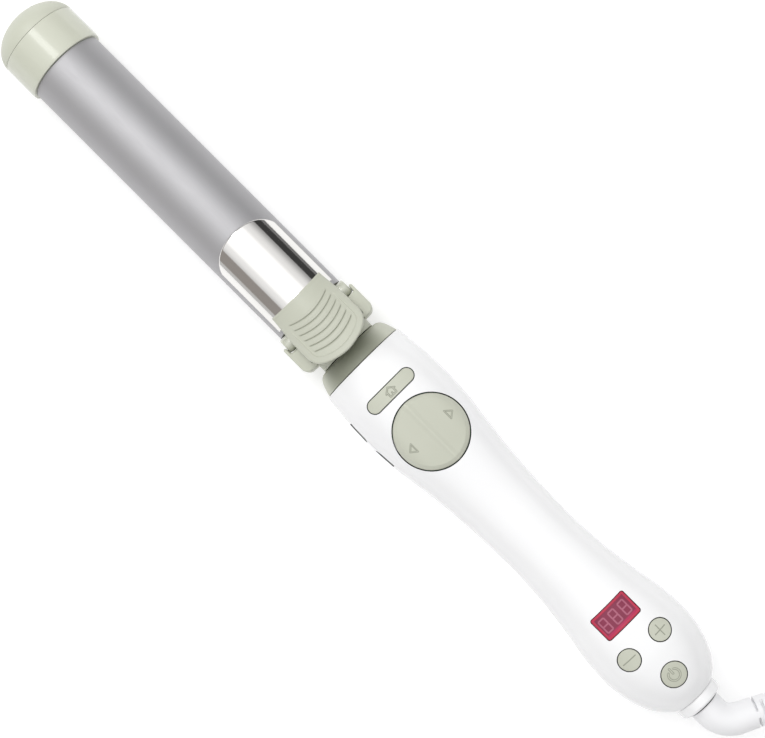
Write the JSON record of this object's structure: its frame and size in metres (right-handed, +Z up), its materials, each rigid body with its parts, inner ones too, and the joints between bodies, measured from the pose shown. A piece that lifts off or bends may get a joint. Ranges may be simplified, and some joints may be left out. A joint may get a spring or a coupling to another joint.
{
  "type": "rotating curling iron",
  "caption": "Rotating curling iron: heated barrel with spring clamp and thumb lever, waisted handle with rocker, keys and display, swivel mains lead tied in a hank.",
  "frame": {"origin": "on the resting surface, under the middle of the body from cap tip to swivel ring", "axes": "+X along the barrel's axis from the cap to the mains lead, +Z up through the control face, +Y across"},
  "size_m": [0.5802, 0.0679, 0.0465],
  "materials": {
    "sage_plastic": "satin moulded plastic",
    "white_plastic": "gloss moulded plastic",
    "barrel_coating": "satin ceramic coating on aluminium",
    "chrome_plate": "polished",
    "steel": "plain",
    "aluminium": "extruded",
    "brass": "plain",
    "black_plastic": "matt",
    "board": "circuit board",
    "ceramic": "matt ceramic",
    "display_lens": "tinted clear plastic",
    "cord_jacket": "soft white cord jacket"
  },
  "bodies": {
    "barrel": {"tip_cap_dome": "sage_plastic", "tip_cap_sleeve": "sage_plastic", "tip_screw": "steel", "barrel_tube": "barrel_coating", "heater_half_upper": "aluminium", "heater_half_lower": "aluminium", "ptc_heater": "ceramic", "thermistor": "black_plastic", "hinge_hub": "sage_plastic", "hinge_pin": "steel", "rotor_shaft": "steel", "rotor_gear": "brass", "slip_ring_front": "brass", "slip_ring_rear": "brass", "shaft_clip": "steel"},
    "clamp": {"clamp_plate": "chrome_plate", "thumb_lever": "sage_plastic", "clamp_rivet_left": "steel", "clamp_rivet_right": "steel", "lever_spring": "steel"},
    "pinion": {"drive_pinion": "steel"},
    "handle": {"front_collar": "sage_plastic", "shaft_bush": "brass", "brush_front": "brass", "brush_rear": "brass", "brush_holder": "black_plastic", "gear_motor": "steel", "handle_top_shell": "white_plastic", "handle_bottom_shell": "white_plastic", "shell_screw_front": "steel", "shell_screw_rear": "steel", "switch_board": "board", "display_board": "board", "power_board": "board", "display_module": "black_plastic", "home_switch": "black_plastic", "rocker_switch_left": "black_plastic", "rocker_switch_right": "black_plastic", "plus_switch": "black_plastic", "minus_switch": "black_plastic", "power_switch": "black_plastic", "slide_switch": "steel", "display_window": "display_lens", "swivel_retainer": "white_plastic", "cord_hank": "cord_jacket", "cord_tie": "black_plastic", "cord_tail": "cord_jacket", "plug_body": "white_plastic", "plug_blade_upper": "brass", "plug_blade_lower": "brass"},
    "rocker": {"direction_rocker": "sage_plastic"},
    "home_key": {"home_button": "sage_plastic"},
    "plus_key": {"plus_button": "sage_plastic"},
    "minus_key": {"minus_button": "sage_plastic"},
    "power_key": {"power_button": "sage_plastic"},
    "speed_switch": {"speed_slider": "white_plastic"},
    "swivel": {"swivel_plug": "black_plastic", "strain_relief": "white_plastic", "cord_lead": "cord_jacket"}
  },
  "joints": [
    {"name": "barrel_spin", "type": "hinge", "parent": "handle", "child": "barrel", "pos_m": [-0.014, 0, 0.0195], "axis": [1, 0, 0], "continuous": true},
    {"name": "pinion_spin", "type": "hinge", "parent": "handle", "child": "pinion", "pos_m": [0.007, 0, 0.00888], "axis": [1, 0, 0], "continuous": true},
    {"name": "clamp_hinge", "type": "hinge", "parent": "barrel", "child": "clamp", "pos_m": [-0.023, 0, 0.0265], "axis": [0, 1, 0], "range_deg": [0, 13], "stiffness_Nm_per_rad": 0.25, "springref_deg": -17.19},
    {"name": "rocker_tilt", "type": "hinge", "parent": "handle", "child": "rocker", "pos_m": [0.0399, 0, 0.032], "axis": [1, 0, 0], "range_deg": [-3, 3], "stiffness_Nm_per_rad": 0.3},
    {"name": "home_press", "type": "slide", "parent": "handle", "child": "home_key", "axis": [0, 0, -1], "range_m": [0, 0.0007], "stiffness_N_per_m": 600, "springref_m": -0.0008},
    {"name": "plus_press", "type": "slide", "parent": "handle", "child": "plus_key", "axis": [0, 0, -1], "range_m": [0, 0.0007], "stiffness_N_per_m": 600, "springref_m": -0.0008},
    {"name": "minus_press", "type": "slide", "parent": "handle", "child": "minus_key", "axis": [0, 0, -1], "range_m": [0, 0.0007], "stiffness_N_per_m": 600, "springref_m": -0.0008},
    {"name": "power_press", "type": "slide", "parent": "handle", "child": "power_key", "axis": [0, 0, -1], "range_m": [0, 0.0007], "stiffness_N_per_m": 600, "springref_m": -0.0008},
    {"name": "speed_slide", "type": "slide", "parent": "handle", "child": "speed_switch", "axis": [1, 0, 0], "range_m": [-0.003, 0.003]},
    {"name": "cord_swivel", "type": "hinge", "parent": "handle", "child": "swivel", "pos_m": [0.181, 0, 0.0195], "axis": [1, 0, 0], "continuous": true}
  ],
  "couplings": [
    {"joint": "pinion_spin", "follows": "barrel_spin", "ratio": -2.5}
  ]
}
